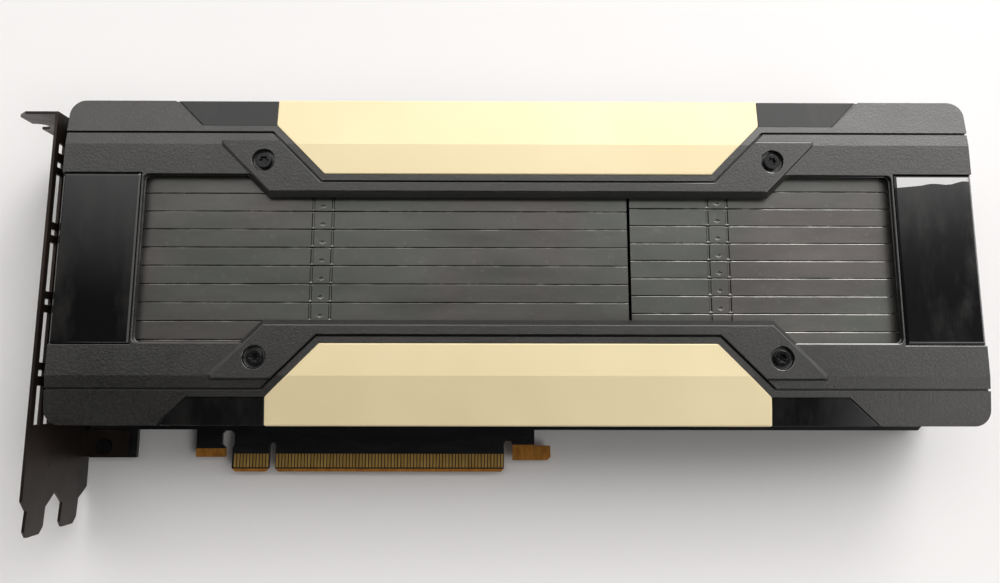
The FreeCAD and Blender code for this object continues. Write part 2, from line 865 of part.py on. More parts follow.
def build_fins(name, left, right, first, pitch, lock, foot):
    """Folded fins: each a web with a flange above and below, the upper one relieved beside the lock."""
    body = new_body(name)
    sheet = d.fin_sheet
    width = pitch - d.fin_gap
    free = first + width
    profile = [
        (first, foot),
        (free, foot),
        (free, foot + sheet),
        (first + sheet, foot + sheet),
        (first + sheet, d.fin_top - sheet),
        (free, d.fin_top - sheet),
        (free, d.fin_top),
        (first, d.fin_top),
    ]
    fold = pad(body, "YZ_Plane", left, right - left, [profile])
    half = d.relief_width / 2
    mouth = d.relief_mouth
    slots = []
    for side in (-1, 1):
        x = lock + side * d.lock_half
        slots.append([
            (x - half, first + sheet),
            (x + half, first + sheet),
            (x + half, free - mouth),
            (x + half + mouth, free),
            (x + half + mouth, free + d.fin_gap / 2),
            (x - half - mouth, free + d.fin_gap / 2),
            (x - half - mouth, free),
            (x - half, free - mouth),
        ])
    relief = pocket(body, "XY_Plane", d.fin_top - d.relief_deep, d.relief_deep, slots)
    catch_y = first + sheet + d.lock_mark_width
    mark = [
        (lock - d.lock_mark_length / 2, catch_y),
        (lock, catch_y - d.lock_mark_width / 2),
        (lock + d.lock_mark_length / 2, catch_y),
        (lock, catch_y + d.lock_mark_width / 2),
    ]
    catch = pocket(body, "XY_Plane", d.fin_top - d.relief_deep, d.relief_deep, [mark])
    repeat(body, [fold, relief, catch], "Y_Axis", pitch, d.fin_count)
    place(body)


# ---------------------------------------------------------------- processor and power parts

def build_package():
    """Processor package: substrate, stiffener ring, die and memory stacks."""
    x, y = d.chip_x, d.middle_y
    half = d.package_side / 2
    inner = half - d.stiffener_band
    substrate = new_body("gpu_substrate")
    pad(substrate, "XY_Plane", board_top, d.package_height, [around(x, y, half, half)])
    place(substrate)
    ring_body = new_body("gpu_stiffener")
    band = [around(x, y, half, half), around(x, y, inner, inner)]
    pad(ring_body, "XY_Plane", package_top, d.stiffener_height, band)
    place(ring_body)
    die = new_body("gpu_die")
    pad(die, "XY_Plane", package_top, d.die_height, [around(x, y, d.die_x / 2, d.die_y / 2)])
    place(die)
    stacks = new_body("memory_stacks")
    lowest = y - d.stack_pitch * (d.stack_rows - 1) / 2
    corner = around(x - d.stack_off, lowest, d.stack_x / 2, d.stack_y / 2)
    first = pad(stacks, "XY_Plane", package_top, d.die_height, [corner])
    repeat(stacks, [first], "Y_Axis", d.stack_pitch, d.stack_rows, ("X_Axis", 2 * d.stack_off, 2))
    place(stacks)


def bank(name, level, height, x, length, width, pitch, count, step):
    """Two equal rows of small blocks across the board."""
    body = new_body(name)
    lowest = d.middle_y - pitch * (count - 1) / 2
    first = pad(body, "XY_Plane", level, height, [around(x, lowest, length / 2, width / 2)])
    repeat(body, [first], "Y_Axis", pitch, count, ("X_Axis", step, 2))
    place(body)


def build_power():
    """Inductors with their thermal pads, power stages and capacitors."""
    coil_top = board_top + d.coil_height
    bank("power_inductors", board_top, d.coil_height, d.coil_x, d.coil_length, d.coil_width,
         d.coil_pitch, d.coil_rows, d.coil_bank_step)
    bank("thermal_pads", coil_top, d.frame_low - coil_top, d.coil_x, d.coil_length - 1, d.coil_width - 1,
         d.coil_pitch, d.coil_rows, d.coil_bank_step)
    bank("power_stages", board_top, d.stage_height, d.stage_x, d.stage_width, d.stage_length,
         d.coil_pitch, d.coil_rows, d.stage_bank_step)
    cans = new_body("polymer_capacitors")
    lowest = d.middle_y - d.can_row_step / 2
    first = pad(cans, "XY_Plane", board_top, d.can_height,
                [around(d.can_x, lowest, d.can_length / 2, d.can_width / 2)])
    repeat(cans, [first], "X_Axis", d.can_pitch, d.can_columns, ("Y_Axis", d.can_row_step, 2))
    place(cans)


def build_inlet():
    """Eight-way power inlet that faces the far end, and its pins."""
    body = new_body("power_connector")
    top = board_top + d.inlet_height
    middle = (d.inlet_foot + d.inlet_head) / 2
    block = box(d.inlet_left, d.inlet_right, d.inlet_foot, d.inlet_head)
    pad(body, "XY_Plane", board_top, d.inlet_height, [block])
    latch_left = d.inlet_right - d.inlet_latch_width
    latch = box(latch_left, d.inlet_right, middle - d.inlet_latch, middle + d.inlet_latch)
    pad(body, "XY_Plane", top, d.inlet_latch, [latch])
    first_y = middle - d.inlet_pitch * (d.inlet_columns - 1) / 2
    first_z = board_top + d.inlet_height / 2 - d.inlet_pitch * (d.inlet_rows - 1) / 2
    rows = ("Z_Axis", d.inlet_pitch, d.inlet_rows)
    cell = around(first_y, first_z, d.inlet_cell / 2, d.inlet_cell / 2)
    hollow = pocket(body, "YZ_Plane", d.inlet_right - d.inlet_depth, d.inlet_depth, [cell])
    repeat(body, [hollow], "Y_Axis", d.inlet_pitch, d.inlet_columns, rows)
    place(body)
    pins = new_body("power_pins")
    blade = around(first_y, first_z, d.pin_side / 2, d.pin_side / 2)
    pin = pad(pins, "YZ_Plane", d.inlet_right - d.inlet_depth, d.pin_length, [blade])
    repeat(pins, [pin], "Y_Axis", d.inlet_pitch, d.inlet_columns, rows)
    place(pins)


# ---------------------------------------------------------------- shroud

def drop_at(y):
    """How far the sloping border of the cover has fallen at a distance from the middle."""
    return d.cover_drop * (y - d.cover_bend) / (d.cover_side - d.cover_bend)


def border_fall(side):
    """What the sloping border takes off one side of the cover, in section."""
    edge = d.cover_side + CLEAR
    return [
        (side * d.cover_bend, d.cover_top),
        (side * edge, d.cover_top - drop_at(edge)),
        (side * edge, d.cover_top + CLEAR),
        (side * d.cover_bend, d.cover_top + CLEAR),
    ]


def seam_line(offset):
    """The seam between the cover and a side cover for +X, moved outward by an offset."""
    slip = CORNER_SLIP * dim(offset)
    end_y = d.seam_end_y + offset
    return [
        (d.cover_half, end_y),
        (d.seam_end_x - slip, end_y),
        (d.seam_mid_x - slip, d.seam_mid_y + offset),
    ]


def window_line(inset):
    """The edge of the window for +X on one side with its round corner, moved inward by an inset."""
    shift = d.island_shift + ROOT_2 * inset
    flat = d.island_flat - inset
    side = d.window_side - inset
    middle_x = d.window_half - inset - d.window_corner
    middle_y = side - d.window_corner
    turn = [(1, 0), (HALF_ROOT_3, 0.5), (0.5, HALF_ROOT_3), (0, 1)]
    corner = [(middle_x + x * d.window_corner, middle_y + y * d.window_corner) for x, y in turn]
    return corner + [(side + shift, side), (flat + shift, flat)]


def whole_outline(line):
    """A line for +X, +Y closed by its mirror images in both axes."""
    upper = mirrored(line)
    return upper + [(-dim(x), -dim(y)) for x, y in upper]


def island(lip, bevel):
    """A raised island between the window and the seam, grown by a lip and a bevel."""
    crown = d.island_crown + lip
    shift = d.island_shift + ROOT_2 * bevel
    tip = d.island_tip + 2 * lip
    flat = d.island_flat - bevel
    edge = seam_line(-d.seam_half)
    diagonal = edge[2][0] - edge[2][1]
    return mirrored([
        (flat + shift, flat),
        (tip, tip - shift),
        (tip, crown),
        (crown + diagonal, crown),
        edge[2],
    ])


COVER_GRID = Grid(-d.cover_screw_x, -d.cover_screw_y,
                  ("X_Axis", 2 * d.cover_screw_x, 2), ("Y_Axis", 2 * d.cover_screw_y, 2))


def build_cover():
    """Middle cover with the fin window, raised islands and seats for the end panels."""
    body = new_body("shroud_cover")
    pad(body, "XY_Plane", d.cover_under, cover_thick, [whole_outline(seam_line(-d.seam_half))])
    falls = [border_fall(-1), border_fall(1)]
    pocket(body, "YZ_Plane", -d.cover_half - CLEAR, 2 * (d.cover_half + CLEAR), falls)
    shelf = d.cover_under + d.window_shelf
    pocket(body, "XY_Plane", d.cover_under, cover_thick, [whole_outline(window_line(d.window_step))])
    pocket(body, "XY_Plane", shelf, d.island_top - shelf, [whole_outline(window_line(dim(0)))])
    foot = island(d.island_lip, d.island_bevel)
    top = island(dim(0), dim(0))
    for side in (-1, 1):
        lower = [(x, side * dim(y)) for x, y in foot]
        upper = [(x, side * dim(y)) for x, y in top]
        raised = body.newObject("PartDesign::AdditiveLoft", "island")
        raised.Profile = sketch(body, "XY_Plane", d.cover_under, [lower])
        raised.Sections = [sketch(body, "XY_Plane", d.island_top, [upper])]
        raised.Ruled = True
        body.Tip = raised
    seats = [
        box(d.panel_inner, d.cover_half + CLEAR, -d.panel_side, d.panel_side),
        box(-d.cover_half - CLEAR, -d.panel_inner, -d.panel_side, d.panel_side),
    ]
    pocket(body, "XY_Plane", d.panel_seat, d.island_top - d.panel_seat, seats)
    sink = d.island_top - d.cover_screw_seat
    COVER_GRID.studs(body, [
        (pocket, d.cover_screw_seat, sink, d.cover_screw_sink, d.cover_screw_sides),
        (pocket, d.cover_under, cover_thick, hole_radius, d.shank_sides),
    ])
    on_cover(body)


def sloped_piece(body, outline, low, high=None):
    """A piece of the cover's surface: its underside and top keep to the slope of the border."""
    floor, roof = d.side_under - 2 * CLEAR, d.island_top + 2 * CLEAR
    pad(body, "XY_Plane", floor, roof - floor, [outline])
    edge = d.cover_side + 2 * CLEAR
    length = 2 * d.cover_half
    under = [
        (0, floor),
        (0, d.cover_top - low),
        (d.cover_bend, d.cover_top - low),
        (edge, d.cover_top - low - drop_at(edge)),
        (edge, floor),
    ]
    pocket(body, "YZ_Plane", -d.cover_half, length, [under])
    if high is None:
        return
    over = [
        (0, roof),
        (0, d.cover_top - high),
        (d.cover_bend, d.cover_top - high),
        (edge, d.cover_top - high - drop_at(edge)),
        (edge, roof),
    ]
    pocket(body, "YZ_Plane", -d.cover_half, length, [over])


def build_side_cover(name, turn):
    """Outer cover with its wall, the ledge under the seam and seats for the plate and the inlays."""
    body = new_body(name + "_blank")
    half, side, wall = d.cover_half, d.cover_side, d.wall_sheet
    ledge = seam_line(-d.seam_ledge)
    outline = mirrored([(half, side)] + ledge)
    pad(body, "XY_Plane", board_top, d.cover_top - board_top, [outline])
    dress(body, "Fillet", "Radius", d.cover_corner, is_cover_corner)
    inner = side - wall
    end = half - wall
    back = ledge[2][1] - CLEAR
    hollow = mirrored([
        (end - d.wrap_corner, inner),
        (end, inner - d.wrap_corner),
        (end, d.wrap_foot),
        (half + CLEAR, d.wrap_foot),
        (half + CLEAR, back),
    ])
    pocket(body, "XY_Plane", board_top, d.side_under - board_top, [hollow])
    pocket(body, "YZ_Plane", -half - CLEAR, 2 * (half + CLEAR), [border_fall(1)])
    step = seam_line(d.seam_half)
    rebate = mirrored([(half + CLEAR, back), (half + CLEAR, step[0][1])] + step[1:])
    pocket(body, "XY_Plane", d.cover_under, cover_thick, [rebate])
    ears = [
        box(d.ear_left, d.ear_right, d.ear_foot, d.seam_end_y),
        box(-d.ear_right, -d.ear_left, d.ear_foot, d.seam_end_y),
    ]
    pad(body, "XY_Plane", d.side_under, d.cover_under - d.side_under, ears)
    threads = [ring(sx * d.cover_screw_x, d.cover_screw_y, hole_radius, d.shank_sides) for sx in (-1, 1)]
    pocket(body, "XY_Plane", d.side_under, d.cover_under - d.side_under, threads)
    first = -d.side_screw_pitch
    sink = ring(first, d.side_screw_z, d.head_radius + d.head_play, d.head_sides)
    bore = ring(first, d.side_screw_z, hole_radius, d.shank_sides)
    drilled = [
        pocket(body, "XZ_Plane", -side, d.side_screw_sink, [sink]),
        pocket(body, "XZ_Plane", -side, wall, [bore]),
    ]
    repeat(body, drilled, "X_Axis", d.side_screw_pitch, d.side_screw_columns)
    play = d.seat_play
    seat = new_body(name + "_seat")
    sloped_piece(seat, mirrored([
        (d.inlay_far_outer + 2 * CLEAR, side + CLEAR),
        (d.inlay_far + play, d.gold_end_y - play),
        (d.gold_end_x, d.gold_end_y - play),
        (d.gold_flat_x, d.gold_flat_y - play),
    ]), d.seat_depth)
    cover = doc.addObject("Part::Cut", name)
    cover.Label = name
    cover.Base = body
    cover.Tool = seat
    on_cover(cover, turn)


def is_cover_corner(edge):
    """The upright edges at the two outer corners of a side cover."""
    ends = [vertex.Point for vertex in edge.Vertexes]
    upright = len(ends) == 2 and abs(ends[0].z - ends[1].z) > 1
    return upright and abs(ends[0].y - d.cover_side.value) < 0.01


def build_gold_plate(name, turn):
    """Trapezoid accent plate, bent along the start of the border's slope."""
    body = new_body(name)
    sloped_piece(body, mirrored([
        (d.gold_end_x, d.gold_outer),
        (d.gold_end_x, d.gold_end_y),
        (d.gold_flat_x, d.gold_flat_y),
    ]), d.seat_depth, -d.gold_proud)
    on_cover(body, turn)


def build_inlays():
    """Four glossy inlays beside the accent plates, sunk in the sloping border."""
    body = new_body("cover_inlays")
    floor, roof = d.side_under - 2 * CLEAR, d.island_top + 2 * CLEAR
    half_piece = [
        (d.inlay_near, d.gold_end_y),
        (d.inlay_far, d.gold_end_y),
        (d.inlay_far_outer, d.cover_side),
        (d.inlay_near, d.cover_side),
    ]
    loops = [[(sx * dim(x), sy * dim(y)) for x, y in half_piece] for sx in (-1, 1) for sy in (-1, 1)]
    pad(body, "XY_Plane", floor, roof - floor, loops)
    edge = d.cover_side + 2 * CLEAR
    near = d.gold_end_y - CLEAR
    low = d.cover_top - d.seat_depth
    high = d.cover_top - d.inlay_sink
    trims = []
    for side in (-1, 1):
        trims.append([
            (side * near, floor),
            (side * edge, floor),
            (side * edge, low - drop_at(edge)),
            (side * near, low - drop_at(near)),
        ])
        trims.append([
            (side * near, roof),
            (side * edge, roof),
            (side * edge, high - drop_at(edge)),
            (side * near, high - drop_at(near)),
        ])
    pocket(body, "YZ_Plane", -d.cover_half, 2 * d.cover_half, trims)
    on_cover(body)


def build_end_panel(name, turn):
    """Glossy panel at one end of the cover, bevelled round its top."""
    body = new_body(name)
    play = d.panel_play
    plan = box(d.panel_inner + play, d.cover_half - d.panel_back, play - d.panel_side, d.panel_side - play)
    pad(body, "XY_Plane", d.panel_seat, d.panel_sheet, [plan])
    top = d.panel_seat.value + d.panel_sheet.value
    dress(body, "Chamfer", "Size", d.panel_bevel, lambda edge: edge.BoundBox.ZMin > top - 0.01)
    on_cover(body, turn)


def star(x, y):
    """A six-lobed recess about a screw's axis."""
    half_turn = [
        (1, 0, d.recess_tip),
        (HALF_ROOT_3, 0.5, d.recess_root),
        (0.5, HALF_ROOT_3, d.recess_tip),
        (0, 1, d.recess_root),
        (-0.5, HALF_ROOT_3, d.recess_tip),
        (-HALF_ROOT_3, 0.5, d.recess_root),
    ]
    first = [(x + across * radius, y + along * radius) for across, along, radius in half_turn]
    second = [(x - across * radius, y - along * radius) for across, along, radius in half_turn]
    return first + second


def build_cover_screws():
    """Four pan screws with six-lobed recesses that hold the cover to the side covers."""
    body = new_body("cover_screws")
    top = d.cover_screw_seat + d.cover_screw_high
    recess = star(-d.cover_screw_x, -d.cover_screw_y)
    head = ring(-d.cover_screw_x, -d.cover_screw_y, d.cover_screw_head, d.cover_screw_sides)
    shank = ring(-d.cover_screw_x, -d.cover_screw_y, d.thread_radius, d.shank_sides)
    made = [
        pad(body, "XY_Plane", d.cover_screw_seat, d.cover_screw_high, [head]),
        pad(body, "XY_Plane", d.side_under, d.cover_screw_seat - d.side_under, [shank]),
        pocket(body, "XY_Plane", top - d.recess_deep, d.recess_deep, [recess]),
    ]
    repeat(body, made, "X_Axis", 2 * d.cover_screw_x, 2, ("Y_Axis", 2 * d.cover_screw_y, 2))
    on_cover(body)


# ---------------------------------------------------------------- the whole card

build_board()
build_contacts()
build_bracket()
build_bracket_screws()
build_backplate()
build_backplate_screws()
build_spring()
build_spring_screws()
build_frame()
build_side_screws()
build_chamber()
build_fins("fin_stack_main", d.main_left, d.main_right, d.main_first, d.main_pitch, d.main_lock, chamber_top)
build_fins("fin_stack_rear", d.rear_left, d.rear_right, d.rear_first, d.rear_pitch, d.rear_lock, deck_top)
build_package()
build_power()
build_inlet()
build_cover()
for side_name, side_turn in (("upper", 0), ("lower", 180)):
    build_side_cover(side_name + "_side_cover", side_turn)
    build_gold_plate(side_name + "_gold_plate", side_turn)
build_inlays()
build_end_panel("rear_end_panel", 0)
build_end_panel("front_end_panel", 180)
build_cover_screws()
doc.recompute()

for item in doc.Objects:
    if "Invalid" in item.State or "Error" in item.State:
        raise RuntimeError("%s: %s" % (item.Name, item.State))

os.makedirs("parts", exist_ok=True)
for part in PARTS:
    shape = part.Shape
    if shape.isNull() or not shape.isValid():
        raise RuntimeError("bad shape: " + part.Label)
    shape.exportStep(os.path.join("parts", part.Label + ".step"))
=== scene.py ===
import json
import math

import bpy
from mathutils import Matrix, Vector


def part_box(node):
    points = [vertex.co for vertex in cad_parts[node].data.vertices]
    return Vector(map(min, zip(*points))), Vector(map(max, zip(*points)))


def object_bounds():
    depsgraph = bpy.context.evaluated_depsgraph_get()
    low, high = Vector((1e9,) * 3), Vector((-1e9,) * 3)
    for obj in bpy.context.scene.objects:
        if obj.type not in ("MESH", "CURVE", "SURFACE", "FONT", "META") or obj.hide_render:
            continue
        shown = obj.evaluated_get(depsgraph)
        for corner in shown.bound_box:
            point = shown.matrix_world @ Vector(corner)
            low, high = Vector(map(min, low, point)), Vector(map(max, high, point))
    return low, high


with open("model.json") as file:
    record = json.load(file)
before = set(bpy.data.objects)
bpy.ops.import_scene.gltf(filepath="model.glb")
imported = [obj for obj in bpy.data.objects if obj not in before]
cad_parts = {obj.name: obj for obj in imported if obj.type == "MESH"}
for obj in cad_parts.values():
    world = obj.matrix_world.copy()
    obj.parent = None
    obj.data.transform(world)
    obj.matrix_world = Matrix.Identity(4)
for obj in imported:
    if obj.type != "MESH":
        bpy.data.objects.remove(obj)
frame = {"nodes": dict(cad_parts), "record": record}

lowest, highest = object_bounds()
nodes = frame["nodes"]
MM = 0.001

# Widths of the rounded edges, in millimetres. A node that isn't named here stays sharp.
ROUNDED = {
    "shroud_cover": 0.4,
    "upper_side_cover": 0.5,
    "lower_side_cover": 0.5,
    "upper_gold_plate": 0.35,
    "lower_gold_plate": 0.35,
    "front_end_panel": 0.2,
    "rear_end_panel": 0.2,
    "cover_inlays": 0.15,
    "cover_screws": 0.2,
    "fin_stack_main": 0.12,
    "fin_stack_rear": 0.12,
    "io_bracket": 0.12,
    "circuit_board": 0.1,
    "backplate": 0.2,
}
WELD_GAP = 0.002 * MM
ROUNDED_FROM = math.radians(28)

# Where the board shows bare laminate, in millimetres from the source's origin, which lies at the bracket's
# face and on the board's cut edge under the contact fingers: left, right and upper limit of the stub and of
# the retention hook, and the upper limit of that cut edge.
SOURCE_ORIGIN = (12.6, 14.95)
BARE_STUB = (34.0, 44.2, 7.0)
BARE_HOOK = (132.5, 146.0, 8.2)
BARE_TIP = 0.9

# The crown of the gloss panel at the far end, in millimetres: how far the panel falls, over which distance,
# and how the place where the fall begins slants and wanders along the panel.
CROWN_FALL = 1.43
CROWN_RUN = 4.0
CROWN_SLANT = 1.9
CROWN_SLANT_RUN = 20.0
CROWN_WANDER = 0.4

# The room: its brightness away from the window and towards it, the brightness of the white wall low down,
# and the factors towards -X and +X.
DAYLIGHT = (1.0, 0.985, 0.97)
ROOM_DARK = 0.09
ROOM_BRIGHT = 1.6
WALL_BRIGHT = 0.95
LEFT_FACTOR = 0.62
RIGHT_FACTOR = 1.45
# Shares of a ray's direction along +Y, +X and +Z between which the room changes.
WINDOW_SPAN = (0.08, 0.42)
SIDE_SPAN = (-0.6, 0.6)
WALL_SPAN = (0.12, 0.22)
# Soft patches of light: direction, half angle of the core and of the rim in degrees, and brightness.
PATCHES = (
    ((-0.32, 0.44, 0.839), 8, 22, 1.3),
    ((0.38, 0.50, 0.778), 8, 22, 1.8),
    ((0.57, -0.34, 0.748), 6, 17, 3.2),
)

# A Mix node has several sockets of one name; these are its two colour inputs and its colour output.
MIX_COLOR_INPUTS = (6, 7)
MIX_COLOR_OUTPUT = 2


# ---------------------------------------------------------------- node trees

class Nodes:
    """A node tree, with short ways to add to it."""

    def __init__(self, tree):
        self.tree = tree

    def node(self, kind, **settings):
        """A new node with some of its settings."""
        made = self.tree.nodes.new(kind)
        for key, value in settings.items():
            setattr(made, key, value)
        return made

    def link(self, output, socket):
        """Join an output to an input."""
        self.tree.links.new(output, socket)

    def ramp(self, value, low, high, out_low=0.0, out_high=1.0, curve="LINEAR"):
        """A value stretched from one pair of limits to another, and held beyond them."""
        stretch = self.node("ShaderNodeMapRange", interpolation_type=curve)
        stretch.inputs["From Min"].default_value = low
        stretch.inputs["From Max"].default_value = high
        stretch.inputs["To Min"].default_value = out_low
        stretch.inputs["To Max"].default_value = out_high
        self.link(value, stretch.inputs["Value"])
        return stretch.outputs["Result"]

    def math(self, operation, first, second):
        """Two values or numbers joined by an operation."""
        made = self.node("ShaderNodeMath", operation=operation)
        for socket, value in zip(made.inputs, (first, second)):
            if isinstance(value, (int, float)):
                socket.default_value = value
            else:
                self.link(value, socket)
        return made.outputs["Value"]

    def part_of(self, vector, axis):
        """One coordinate of a vector."""
        split = self.node("ShaderNodeSeparateXYZ")
        self.link(vector, split.inputs["Vector"])
        return split.outputs[axis]


class Finish(Nodes):
    """A material with a Principled shader and the procedural detail that goes into it."""

    def __init__(self, name, color, roughness, metallic=0.0, specular=0.5):
        self.material = bpy.data.materials.new(name)
        self.material.use_nodes = True
        self.material.diffuse_color = (*color, 1.0)
        super().__init__(self.material.node_tree)
        self.shader = self.tree.nodes["Principled BSDF"]
        self.shader.inputs["Base Color"].default_value = (*color, 1.0)
        self.shader.inputs["Roughness"].default_value = roughness
        self.shader.inputs["Metallic"].default_value = metallic
        self.shader.inputs["Specular IOR Level"].default_value = specular
        self.place = self.node("ShaderNodeTexCoord").outputs["Object"]

    def noise(self, scale, detail=3.0, roughness=0.55, stretch=(1, 1, 1)):
        """Noise over the object, in cells per metre, longer along the axes with a small stretch."""
        mapping = self.node("ShaderNodeMapping")
        mapping.inputs["Scale"].default_value = stretch
        self.link(self.place, mapping.inputs["Vector"])
        texture = self.node("ShaderNodeTexNoise")
        texture.inputs["Scale"].default_value = scale
        texture.inputs["Detail"].default_value = detail
        texture.inputs["Roughness"].default_value = roughness
        self.link(mapping.outputs["Vector"], texture.inputs["Vector"])
        return texture.outputs["Fac"]

    def mix(self, factor, first, second):
        """Two colours mixed by a value."""
        made = self.node("ShaderNodeMix", data_type="RGBA")
        self.link(factor, made.inputs["Factor"])
        for index, value in zip(MIX_COLOR_INPUTS, (first, second)):
            if isinstance(value, tuple):
                made.inputs[index].default_value = (*value, 1.0)
            else:
                self.link(value, made.inputs[index])
        return made.outputs[MIX_COLOR_OUTPUT]

    def axis(self, name):
        """One coordinate of the place on the object, in metres."""
        return self.part_of(self.place, name)

    def color(self, value):
        """Drive the base colour."""
        self.link(value, self.shader.inputs["Base Color"])

    def rough(self, value):
        """Drive the roughness."""
        self.link(value, self.shader.inputs["Roughness"])

    def rough_between(self, value, smoothest, roughest, limits=(0.3, 0.7)):
        """Drive the roughness from smoothest to roughest, as a value goes from one limit to the other."""
        self.rough(self.ramp(value, *limits, smoothest, roughest))

    def bump(self, height, strength, distance):
        """Relief from a height value; distance is in millimetres."""
        made = self.node("ShaderNodeBump")
        made.inputs["Strength"].default_value = strength
        made.inputs["Distance"].default_value = distance * MM
        self.link(height, made.inputs["Height"])
        self.link(made.outputs["Normal"], self.shader.inputs["Normal"])


# ---------------------------------------------------------------- finishes

def textured_plastic():
    """Fine-grained black moulding, a little dusty."""
    clean = (0.0050, 0.0048, 0.0046)
    dusty = (0.014, 0.0132, 0.0122)
    pale = (0.020, 0.0190, 0.0175)
    made = Finish("shroud_plastic", (0.008, 0.008, 0.008), 0.38, specular=0.8)
    grain = made.noise(1500, detail=3.0, roughness=0.7)
    grain_tops = made.ramp(grain, 0.45, 0.68)
    dust = made.ramp(made.noise(38, detail=5.0, roughness=0.6), 0.42, 0.75)
    made.color(made.mix(grain_tops, made.mix(dust, clean, dusty), pale))
    made.rough_between(made.noise(60, detail=4.0), 0.34, 0.43)
    made.bump(grain, strength=0.6, distance=0.14)
    return made.material


def champagne():
    """Satin anodised aluminium."""
    made = Finish("champagne_aluminium", (0.76, 0.63, 0.385), 0.50, metallic=0.25)
    drift = made.ramp(made.noise(14, detail=3.0), 0.35, 0.65)
    made.color(made.mix(drift, (0.72, 0.605, 0.365), (0.775, 0.66, 0.42)))
    made.rough_between(made.noise(90, detail=4.0), 0.45, 0.55)
    made.bump(made.noise(3200, detail=2.0), strength=0.16, distance=0.06)
    return made.material


def polished_edge():
    """Rounded edges of the cover, rubbed smooth."""
    made = Finish("polished_edge", (0.010, 0.010, 0.010), 0.16, specular=0.8)
    wear = made.ramp(made.noise(90, detail=4.0, roughness=0.6), 0.4, 0.65)
    made.color(made.mix(wear, (0.007, 0.007, 0.007), (0.030, 0.029, 0.027)))
    made.rough_between(wear, 0.12, 0.24, limits=(0.0, 1.0))
    return made.material


def rubbed_fin_edge_with_groove_shade():
    """Folds of the fins, burnished brighter than their faces, with painted shade on the walls of the cross
    grooves: faces that look along the fin are coloured near black.
    """
    # Painted shade: a near-black colour for the groove walls, standing in for the shade deep in the grooves.
    painted_groove_shade = (0.012, 0.012, 0.011)
    made = Finish("rubbed_fin_edge_with_groove_shade", (0.24, 0.24, 0.23), 0.24, metallic=0.9)
    wear = made.ramp(made.noise(160, detail=4.0, roughness=0.6), 0.4, 0.65)
    rubbed = made.mix(wear, (0.12, 0.12, 0.115), (0.32, 0.315, 0.30))
    facing = made.part_of(made.node("ShaderNodeNewGeometry").outputs["True Normal"], "X")
    # Painted shade mask: faces that look along the fin, which are the groove walls, take the near-black
    # colour.
    groove_shade_mask = made.ramp(made.math("MULTIPLY", facing, facing), 0.01, 0.08)
    made.color(made.mix(groove_shade_mask, rubbed, painted_groove_shade))
    made.rough_between(wear, 0.20, 0.30, limits=(0.0, 1.0))
    return made.material


def crown_height(made, left, edge):
    """Height of a panel that is flat and falls away towards its edge in +Y, from 0 to -1."""
    along_x = made.noise(170, detail=0.0, roughness=0.5, stretch=(1, 0, 0))
    wander = made.ramp(along_x, 0.3, 0.7, -CROWN_WANDER * MM, CROWN_WANDER * MM)
    slant = made.ramp(made.axis("X"), left, left + CROWN_SLANT_RUN * MM, 0.0, -CROWN_SLANT * MM)
    along_y = made.math("ADD", made.math("ADD", made.axis("Y"), slant), wander)
    return made.ramp(along_y, edge - CROWN_RUN * MM, edge, 0.0, -1.0)


def gloss_black(name, specular, crown=None):
    """High-gloss black with faint smears; a crown is given as its left end and its edge in +Y, in metres."""
    clean_roughness = 0.05
    smear_roughness = 0.16
    made = Finish(name, (0.004, 0.004, 0.0045), 0.06, specular=specular)
    smear = made.ramp(made.noise(70, detail=6.0, roughness=0.65, stretch=(1, 0.35, 1)), 0.5, 0.72)
    made.rough(made.math("ADD", made.math("MULTIPLY", smear, smear_roughness), clean_roughness))
    made.color(made.mix(smear, (0.003, 0.003, 0.0035), (0.014, 0.013, 0.012)))
    if crown:
        made.bump(crown_height(made, *crown), strength=1.0, distance=CROWN_FALL)
    else:
        made.bump(made.noise(25, detail=2.0), strength=0.03, distance=0.2)
    return made.material


def fin_metal():
    """Dark plated fins with handling marks."""
    speck_strength = 0.16
    made = Finish("fin_aluminium", (0.11, 0.11, 0.104), 0.36, metallic=0.8)
    tint = made.ramp(made.noise(24, detail=3.0, roughness=0.6), 0.42, 0.6)
    wear = made.ramp(made.noise(55, detail=6.0, roughness=0.7, stretch=(0.35, 1, 1)), 0.35, 0.68)
    speck = made.ramp(made.noise(420, detail=3.0, roughness=0.7), 0.62, 0.74)
    dark = made.mix(tint, (0.084, 0.090, 0.082), (0.092, 0.085, 0.082))
    light = made.mix(tint, (0.118, 0.122, 0.112), (0.128, 0.118, 0.114))
    plain = made.mix(wear, dark, light)
    made.color(made.mix(made.math("MULTIPLY", speck, speck_strength), plain, (0.28, 0.27, 0.26)))
    made.rough_between(made.noise(120, detail=5.0, roughness=0.6, stretch=(0.2, 1, 1)), 0.32, 0.46)
    brushed = made.noise(600, detail=3.0, roughness=0.5, stretch=(0.15, 1, 1))
    made.bump(brushed, strength=0.10, distance=0.08)
    return made.material


def black_nickel():
    """Bracket steel with a dark brownish plating."""
    made = Finish("bracket_steel", (0.060, 0.046, 0.038), 0.32, metallic=0.6)
    drift = made.ramp(made.noise(30, detail=5.0, roughness=0.6), 0.35, 0.7)
    made.color(made.mix(drift, (0.013, 0.009, 0.0075), (0.036, 0.024, 0.019)))
    made.rough_between(made.noise(140, detail=5.0), 0.26, 0.42)
    made.bump(made.noise(900, detail=3.0), strength=0.08, distance=0.06)
    return made.material


def bare_laminate(made):
    """1 where the board shows bare laminate, 0 under the mask."""
    from_left, from_foot = SOURCE_ORIGIN
    left = lowest.x / MM + from_left
    foot = lowest.y / MM + from_foot
    x, y = made.axis("X"), made.axis("Y")

    def below(level):
        return made.math("LESS_THAN", y, (foot + level) * MM)

    def tab(low, high, level):
        after = made.math("GREATER_THAN", x, (left + low) * MM)
        before = made.math("LESS_THAN", x, (left + high) * MM)
        return made.math("MULTIPLY", made.math("MULTIPLY", after, before), below(level))

    tabs = made.math("MAXIMUM", tab(*BARE_STUB), tab(*BARE_HOOK))
    return made.math("MAXIMUM", tabs, below(BARE_TIP))


